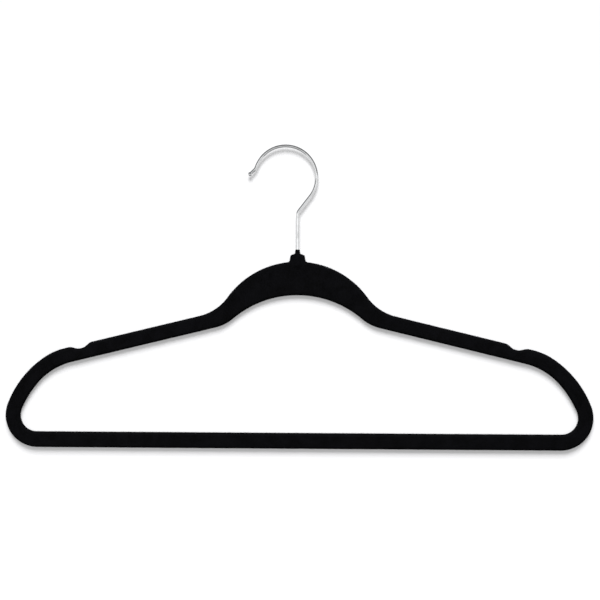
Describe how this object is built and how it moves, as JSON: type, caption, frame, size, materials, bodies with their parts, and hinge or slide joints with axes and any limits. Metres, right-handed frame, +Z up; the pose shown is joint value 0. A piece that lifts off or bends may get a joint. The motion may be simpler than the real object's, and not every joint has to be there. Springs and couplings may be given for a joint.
{
  "type": "clothes hanger",
  "caption": "Slim black flocked clothes hanger with an arched crown, strap notches, a built-in trouser bar and a chrome-plated wire hook that swivels in the neck.",
  "frame": {"origin": "the rail seat: the inner top of the hook's curl, where the hanger rests on its rail, in the middle of the thickness", "axes": "+Z up as the hanger hangs, +X across the width to the right seen from the front, away from the hook's mouth, and +Y out of the back face, along the rail"},
  "size_m": [0.445, 0.0074, 0.2303],
  "materials": {
    "chrome_wire": "bright chrome plate on drawn steel wire",
    "black_moulding": "matt black moulded plastic, hidden under the flock",
    "black_flock": "short nylon flock, black, glued all over"
  },
  "bodies": {
    "hook": {"wire_hook": "chrome_wire"},
    "hanger": {"moulded_body": "black_moulding", "flock_cover": "black_flock"}
  },
  "joints": [
    {"name": "hook_swivel", "type": "hinge", "parent": "hook", "child": "hanger", "pos_m": [0.0093, 0, -0.08925], "axis": [0, 0, 1], "continuous": true}
  ]
}
